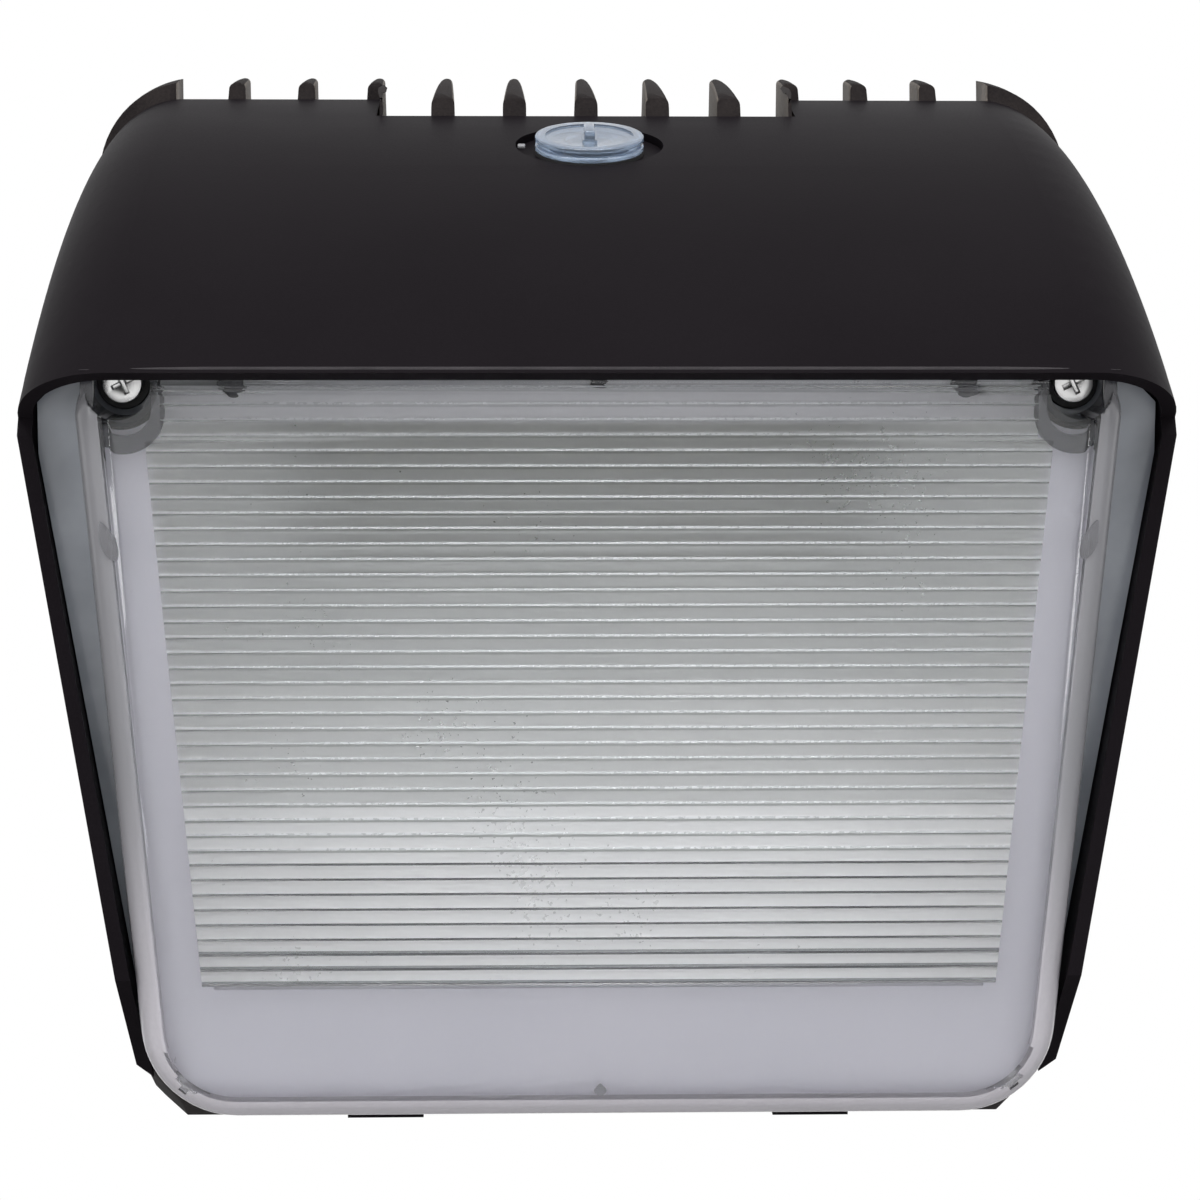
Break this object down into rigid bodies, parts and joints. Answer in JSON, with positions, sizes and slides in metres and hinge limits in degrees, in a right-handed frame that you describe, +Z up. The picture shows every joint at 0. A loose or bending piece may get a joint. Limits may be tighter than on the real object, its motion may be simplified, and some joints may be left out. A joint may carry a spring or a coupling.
{
  "type": "wall pack light",
  "caption": "Outdoor wall pack light: domed cast hood over a forward-leaning ribbed lens, finned rear casting, round photocell cap in the crown, hinged on a wall plate.",
  "frame": {"origin": "centre of the wall plate's box holes, on the face of the wall", "axes": "+X to the right seen from the front, +Y into the wall, +Z up"},
  "size_m": [0.238, 0.141, 0.2772],
  "materials": {
    "zinc_steel": "zinc-plated sheet steel",
    "black_foam": "closed-cell foam",
    "steel": "plain steel",
    "bronze_coat": "die-cast aluminium with a dark bronze powder coat",
    "clear_lens": "clear moulded polycarbonate with prism ribs inside",
    "grey_silicone": "silicone",
    "black_rubber": "moulded rubber",
    "clear_window": "clear moulded plastic with a faint blue tint",
    "black_plastic": "moulded plastic",
    "pad_grey": "soft heat-conducting pad",
    "board_white": "white solder mask",
    "led_phosphor": "phosphor under clear silicone",
    "white_plastic": "moulded plastic",
    "reflector_white": "white vacuum-formed sheet",
    "driver_case": "plain aluminium case",
    "ground_green": "green dyed steel",
    "wire_red": "wire insulation",
    "wire_black": "wire insulation",
    "wire_white": "wire insulation",
    "wire_green": "wire insulation"
  },
  "bodies": {
    "wall_side": {"wall_plate": "zinc_steel", "wall_gasket": "black_foam"},
    "light": {"hinge_pins": "steel", "latch_screws": "steel", "housing": "bronze_coat", "hood": "bronze_coat", "hood_screws": "steel", "seam_gasket": "black_foam", "lens": "clear_lens", "lens_gasket": "grey_silicone", "lens_screws": "steel", "lens_washers": "black_rubber", "photocell_gasket": "black_rubber", "photocell_sensor": "black_plastic", "photocell_nut": "black_plastic", "thermal_pad": "pad_grey", "led_board": "board_white", "led_chips": "led_phosphor", "led_board_screws": "steel", "board_connector": "white_plastic", "reflector": "reflector_white", "reflector_screws": "steel", "driver": "driver_case", "driver_screws": "steel", "terminal_block": "white_plastic", "terminal_screws": "steel", "ground_screw": "ground_green", "wire_grommets": "black_rubber", "vent_plug": "black_plastic", "led_leads": "wire_red", "photocell_leads": "wire_black", "driver_input_leads": "wire_white", "ground_lead": "wire_green"},
    "photocell_cap": {"photocell_window": "clear_window"}
  },
  "joints": [
    {"name": "housing_swing", "type": "hinge", "parent": "wall_side", "child": "light", "pos_m": [0, -0.009, -0.045], "axis": [1, 0, 0], "range_deg": [0, 75]},
    {"name": "photocell_turn", "type": "hinge", "parent": "light", "child": "photocell_cap", "pos_m": [0, -0.07, 0.16109], "axis": [0, -0.6885, 0.7252], "range_deg": [0, 90]}
  ]
}
